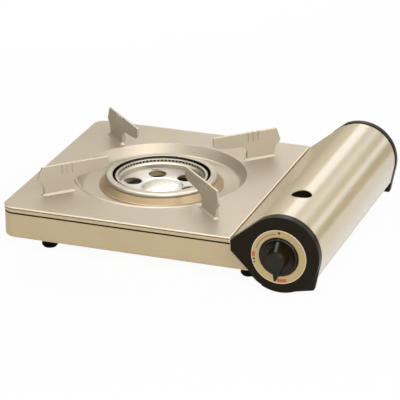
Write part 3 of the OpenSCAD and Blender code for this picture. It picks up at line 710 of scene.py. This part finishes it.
class StoveKnob(bpy.types.Operator):
    """Finish the control knob and its spindle"""

    bl_idname = "stove.knob"
    bl_label = "Control Knob"

    def execute(self, context):
        gloss = moulded_plastic(
            "knob_plastic", tinted(context.scene.stove_colours.cap, 1.1), 0.22, grain=2400.0, depth=0.03,
            shine=0.25)
        finish_node("control_knob", gloss)
        finish_node("spindle", plain_metal("spindle_steel", (0.62, 0.62, 0.61), 0.3))
        return {"FINISHED"}


class StoveIgniter(bpy.types.Operator):
    """Finish the igniter with its cam, plunger, lead and electrode"""

    bl_idname = "stove.igniter"
    bl_label = "Igniter"

    def execute(self, context):
        finish_node("igniter_body", moulded_plastic("igniter_plastic", (0.62, 0.58, 0.50), 0.45))
        finish_node("igniter_plunger", moulded_plastic("plunger_plastic", (0.55, 0.40, 0.18), 0.4))
        finish_node("igniter_cam", moulded_plastic("cam_plastic", (0.72, 0.70, 0.66), 0.42))
        sleeve = moulded_plastic("lead_sleeve", (0.62, 0.58, 0.52), 0.55, grain=1200.0)
        finish_node("igniter_lead", sleeve)
        glaze = moulded_plastic("glazed_ceramic", (0.80, 0.78, 0.73), 0.2, grain=500.0, depth=0.03)
        finish_node("spark_electrode", glaze)
        return {"FINISHED"}


class StoveFeet(bpy.types.Operator):
    """Finish the rubber feet and their screws"""

    bl_idname = "stove.feet"
    bl_label = "Feet"

    def execute(self, context):
        rubber = moulded_plastic(
            "foot_rubber", (0.003, 0.003, 0.003), 0.6, grain=1400.0, depth=0.2, shine=0.03)
        finish_node("feet", rubber)
        finish_node("foot_screws", plain_metal("screw_zinc", ZINC, 0.34))
        return {"FINISHED"}


# Lamps: name, place, target, size of the panel, power in watts, and whether reflections show it
LAMPS = (
    ("key_lamp", (0.95, -1.1, 1.25), (0, 0, 0.03), (1.6, 1.6), 26, True),
    ("side_lamp", (1.26, 0.2, 0.18), (0.13, -0.1, 0.04), (0.5, 0.34), 3, True),
    ("fill_lamp", (-0.8, 1.2, 0.55), (0.1, 0, 0.05), (1.0, 0.6), 13, False),
    ("front_lamp", (0.76, -2.12, 1.05), (0, 0, 0.03), (0.3, 0.3), 14, False),
    ("glint_lamp", (-0.11, -0.49, 0.79), (0.126, -0.14, 0.05), (0.06, 0.06), 0.28, True),
)

# The floor: half its width, its grey under the lamps, and the share of plain white that the camera sees
FLOOR_REACH = 6.0
FLOOR_GREY = (0.86, 0.86, 0.86, 1)
FLOOR_WHITE_SHARE = 0.95

# In reflections the floor is white in front and for some way back on the right, and warm elsewhere;
# each pair is where the white starts to show and where it is full
FLOOR_WARM = (0.5, 0.43, 0.31, 1)
WHITE_FRONT = (0.14, 0.10)
WHITE_RIGHT = (0.10, 0.16)
WHITE_RIGHT_BACK = (0.55, 0.45)

# The reflecting tent is half a tube round the bay's axis, brighter near its front end
TENT_RADIUS = 1.1
TENT_FRONT = -0.25
TENT_BACK = 3.4
TENT_LIFT = 0.002
TENT_STEPS = 48
BRIGHT_UNTIL = 0.35
DIM_FROM = 0.6
BRIGHT_STRENGTH = 7.0
DIM_STRENGTH = 3.0

# Tone of the tent by the angle round its axis, in degrees from the right: a strip low on the right, one
# above it, a broad one overhead, and a dim warm cloth on the left
TENT_TONES = (
    (0, 0.1), (15, 0.35), (25, 1.75), (34, 1.6), (43, 0.6), (54, 0.75), (67, 1.6),
    (85, 1.0), (90, 1.0), (99, 2.3), (119, 2.3), (130, 0.85), (145, 0.8), (180, 0.45),
)
TONE_OF_WHITE = 3
WARM_FROM = 125
WARM_CLOTH = (1, 0.92, 0.76)

# The black card stands upright on the left: the middle of it, its height and its length
CARD_MIDDLE = (-0.75, 0.3, 0.305)
CARD_HEIGHT = 0.59
CARD_LENGTH = 1.0
CARD_BLACK = (0.02, 0.02, 0.02, 1)

# Light from all round
WORLD_COLOUR = (1, 0.98, 0.95, 1)
WORLD_STRENGTH = 0.24

# The camera, fitted to the photograph's view
CAMERA_PLACE = (0.75961, -2.12645, 0.95270)
CAMERA_RIGHT = (0.94175, 0.33632, 0.0)
CAMERA_AHEAD = (-0.31122, 0.87147, -0.37906)
CAMERA_LENS = 217.48
CAMERA_SENSOR = 36.0
CAMERA_REACH = 20.0


def soft_lamp(name, place, target, size, power, in_reflections):
    """An area lamp at a place, turned to a target."""
    lamp = bpy.data.lights.new(name, "AREA")
    lamp.shape = "RECTANGLE"
    lamp.size, lamp.size_y = size
    lamp.energy = power
    holder = bpy.data.objects.new(name, lamp)
    bpy.context.scene.collection.objects.link(holder)
    holder.location = place
    holder.rotation_euler = (Vector(target) - Vector(place)).to_track_quat("-Z", "Y").to_euler()
    holder.visible_glossy = in_reflections


def stage_piece(name, shape, material):
    """A piece of the stage from a bmesh."""
    piece = mesh_object(name, shape, material)
    return piece


def reflections_only(piece):
    """Hides a piece of the stage from all but reflections."""
    piece.visible_camera = False
    piece.visible_diffuse = False
    piece.visible_transmission = False
    piece.visible_shadow = False


def mixed(tree, share, first, second):
    """A shader that goes from the first to the second by the socket of a share."""
    mix = add_node(tree, "ShaderNodeMixShader")
    tree.links.new(share, mix.inputs["Fac"])
    tree.links.new(first, mix.inputs[1])
    tree.links.new(second, mix.inputs[2])
    return mix.outputs["Shader"]


def seen_white(tree, shader, share, rays):
    """Mixes a share of plain white into a shader for the named rays."""
    path = add_node(tree, "ShaderNodeLightPath")
    seen = path.outputs[rays[0]]
    for ray in rays[1:]:
        seen = combined(tree, "MAXIMUM", seen, path.outputs[ray])
    part = add_node(tree, "ShaderNodeMath", {1: share}, operation="MULTIPLY")
    tree.links.new(seen, part.inputs[0])
    glow = add_node(tree, "ShaderNodeEmission", {"Color": WHITE, "Strength": 1.0})
    return mixed(tree, part.outputs["Value"], shader, glow.outputs["Emission"])


class StoveStudio(bpy.types.Operator):
    """Build the pale floor, the reflecting tent, the black card, the soft light and the camera"""

    bl_idname = "stove.studio"
    bl_label = "Studio"

    def execute(self, context):
        scene = context.scene
        scene.view_settings.view_transform = "Standard"
        self.floor()
        self.tent()
        self.card()
        self.world(scene)
        for lamp in LAMPS:
            soft_lamp(*lamp)
        self.camera(scene)
        return {"FINISHED"}

    def floor(self):
        """A white floor that keeps the stove's shadow."""
        shape = bmesh.new()
        bmesh.ops.create_grid(shape, x_segments=1, y_segments=1, size=FLOOR_REACH)
        material = bpy.data.materials.new("floor_white")
        tree, surface = bare_tree(material)
        matt = add_node(tree, "ShaderNodeBsdfDiffuse", {"Color": FLOOR_GREY})
        seen = seen_white(tree, matt.outputs["BSDF"], FLOOR_WHITE_SHARE, ["Is Camera Ray"])
        front = mapped(tree, place_along(tree, "Y"), *WHITE_FRONT)
        right = mapped(tree, place_along(tree, "X"), *WHITE_RIGHT)
        not_far = mapped(tree, place_along(tree, "Y"), *WHITE_RIGHT_BACK)
        white = combined(tree, "MAXIMUM", both(tree, right, not_far), front)
        glow = add_node(tree, "ShaderNodeEmission", {"Strength": 1.0})
        tree.links.new(ramp_between(tree, white, FLOOR_WARM, WHITE, 0.0, 1.0), glow.inputs["Color"])
        reflected = add_node(tree, "ShaderNodeLightPath").outputs["Is Glossy Ray"]
        tree.links.new(mixed(tree, reflected, seen, glow.outputs["Emission"]), surface)
        stage_piece("floor", shape, material)

    def tent(self):
        """Half a tube of glowing cloth, seen by reflections alone."""
        shape = bmesh.new()
        ends = [shape.verts.new((TENT_RADIUS, y, 0)) for y in (TENT_FRONT, TENT_BACK)]
        line = shape.edges.new(ends)
        bmesh.ops.spin(
            shape, geom=[*ends, line], cent=(0, 0, 0), axis=(0, -1, 0), angle=math.pi, steps=TENT_STEPS)
        bmesh.ops.translate(shape, verts=shape.verts, vec=(BAY.x, 0, TENT_LIFT))
        reflections_only(stage_piece("tent", shape, self.tent_cloth()))

    def tent_cloth(self):
        """Cloth whose glow changes round the bay's axis and along it."""
        material = bpy.data.materials.new("tent_cloth")
        tree, surface = bare_tree(material)
        shift = add_node(tree, "ShaderNodeMapping", {"Location": (-BAY.x, 0, 0)})
        tree.links.new(object_coords(tree), shift.inputs["Vector"])
        place = add_node(tree, "ShaderNodeSeparateXYZ")
        tree.links.new(shift.outputs["Vector"], place.inputs["Vector"])
        turn = combined(tree, "ARCTAN2", place.outputs["Z"], place.outputs["X"])
        ramp = add_node(tree, "ShaderNodeValToRGB")
        tree.links.new(mapped(tree, turn, 0.0, math.pi), ramp.inputs["Fac"])
        stops = ramp.color_ramp.elements
        for angle, _ in TENT_TONES[1:-1]:
            stops.new(angle / 180)
        for stop, (angle, tone) in zip(stops, TENT_TONES):
            stop.position = angle / 180
            stop.color = tinted(WARM_CLOTH if angle > WARM_FROM else WHITE, tone / TONE_OF_WHITE)
        glow = add_node(tree, "ShaderNodeEmission")
        strength = mapped(
            tree, place.outputs["Y"], BRIGHT_UNTIL, DIM_FROM, BRIGHT_STRENGTH, DIM_STRENGTH, "SMOOTHSTEP")
        tree.links.new(strength, glow.inputs["Strength"])
        tree.links.new(ramp.outputs["Color"], glow.inputs["Color"])
        tree.links.new(glow.outputs["Emission"], surface)
        return material

    def card(self):
        """A black card on the left, seen by reflections alone."""
        shape = bmesh.new()
        bmesh.ops.create_grid(shape, x_segments=1, y_segments=1, size=0.5)
        bmesh.ops.scale(shape, verts=shape.verts, vec=(CARD_HEIGHT, CARD_LENGTH, 1))
        upright = Matrix.Rotation(math.pi / 2, 4, "Y")
        bmesh.ops.rotate(shape, verts=shape.verts, cent=(0, 0, 0), matrix=upright)
        bmesh.ops.translate(shape, verts=shape.verts, vec=CARD_MIDDLE)
        material = new_finish("flag_black", {"Base Color": CARD_BLACK, "Roughness": 1.0})[0]
        reflections_only(stage_piece("flag", shape, material))

    def world(self, scene):
        """Weak light from all round, white to the camera and in reflections."""
        scene.world = bpy.data.worlds.new("studio")
        tree, surface = bare_tree(scene.world, "ShaderNodeOutputWorld")
        lit = add_node(tree, "ShaderNodeBackground", {"Color": WORLD_COLOUR, "Strength": WORLD_STRENGTH})
        rays = ("Is Camera Ray", "Is Glossy Ray", "Is Transmission Ray")
        tree.links.new(seen_white(tree, lit.outputs["Background"], 1.0, rays), surface)

    def camera(self, scene):
        """The camera at the photograph's viewing angle."""
        camera = bpy.data.cameras.new("camera")
        camera.sensor_fit = "HORIZONTAL"
        camera.sensor_width = CAMERA_SENSOR
        camera.lens = CAMERA_LENS
        camera.clip_end = CAMERA_REACH
        holder = bpy.data.objects.new("camera", camera)
        scene.collection.objects.link(holder)
        right = Vector(CAMERA_RIGHT)
        ahead = Vector(CAMERA_AHEAD)
        turn = Matrix((right, right.cross(ahead), -ahead)).transposed().to_4x4()
        holder.matrix_world = Matrix.Translation(CAMERA_PLACE) @ turn
        scene.camera = holder


STEPS = (
    StoveStudio, StoveCase, StoveSupports, StoveBurner, StoveGasWay, StoveBay, StoveCover, StoveDial,
    StoveKnob, StoveIgniter, StoveFeet,
)


class StovePanel(bpy.types.Panel):
    """Sidebar panel with the steps that dress the stove"""

    bl_label = "Stove"
    bl_idname = "STOVE_PT_steps"
    bl_space_type = "VIEW_3D"
    bl_region_type = "UI"
    bl_category = "Stove"

    def draw(self, context):
        for step in STEPS:
            self.layout.operator(step.bl_idname)


CLASSES = (StoveSizes, StoveColours, *STEPS, StovePanel)


def register():
    for each in CLASSES:
        bpy.utils.register_class(each)
    bpy.types.Scene.stove_sizes = PointerProperty(type=StoveSizes)
    bpy.types.Scene.stove_colours = PointerProperty(type=StoveColours)


def unregister():
    del bpy.types.Scene.stove_colours
    del bpy.types.Scene.stove_sizes
    for each in reversed(CLASSES):
        bpy.utils.unregister_class(each)


def main():
    register()
    for step in STEPS:
        group, name = step.bl_idname.split(".")
        getattr(getattr(bpy.ops, group), name)()


if __name__ == "__main__":
    main()
